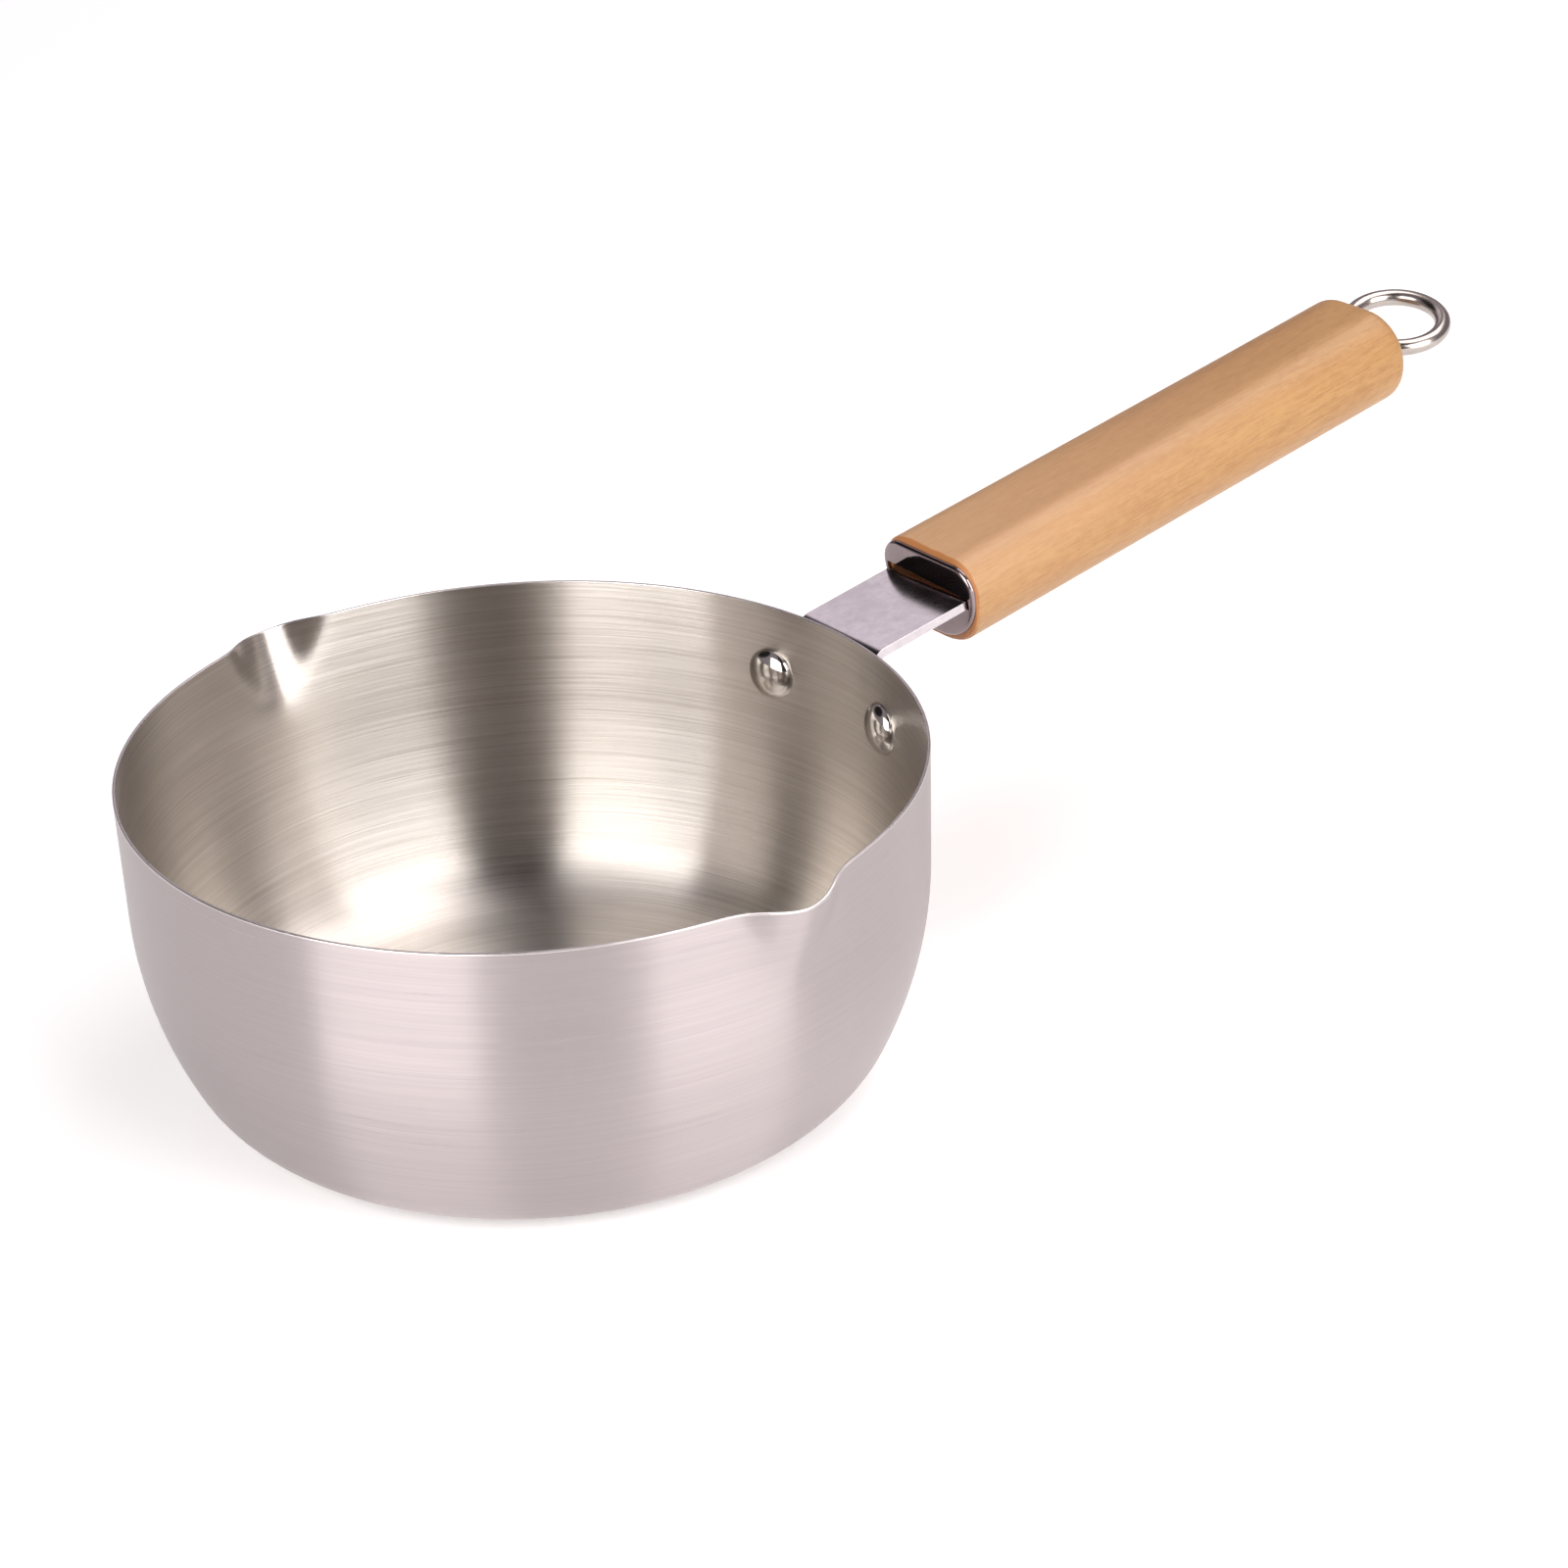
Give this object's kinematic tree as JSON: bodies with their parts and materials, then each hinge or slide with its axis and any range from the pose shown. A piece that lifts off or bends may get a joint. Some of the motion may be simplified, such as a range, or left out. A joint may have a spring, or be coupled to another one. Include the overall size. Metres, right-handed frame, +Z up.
{
  "type": "milk pan",
  "caption": "Round-bottomed steel milk pan with a pouring spout on each side, a riveted bracket, a wooden stick handle and a wire hanging eye.",
  "frame": {"origin": "centre of the underside of the flat base", "axes": "+X runs from the bowl's centre towards the handle, +Y is to the left of the handle seen from the bowl, +Z is up"},
  "size_m": [0.3429, 0.172, 0.1011],
  "materials": {
    "bowl_steel": "brushed round the bowl, satin",
    "bracket_steel": "polished with soft rolling marks",
    "rivet_steel": "polished",
    "plate_steel": "mirror polished",
    "grip_wood": "light beech, satin lacquer",
    "nut_steel": "plain",
    "wire_steel": "nickel plated, polished"
  },
  "bodies": {
    "root": {"pan_body": "bowl_steel", "handle_bracket": "bracket_steel", "rivet_left": "rivet_steel", "rivet_right": "rivet_steel", "ferrule_plate": "plate_steel", "wooden_grip": "grip_wood", "tie_nut": "nut_steel", "ring_bolt": "wire_steel"}
  },
  "joints": []
}
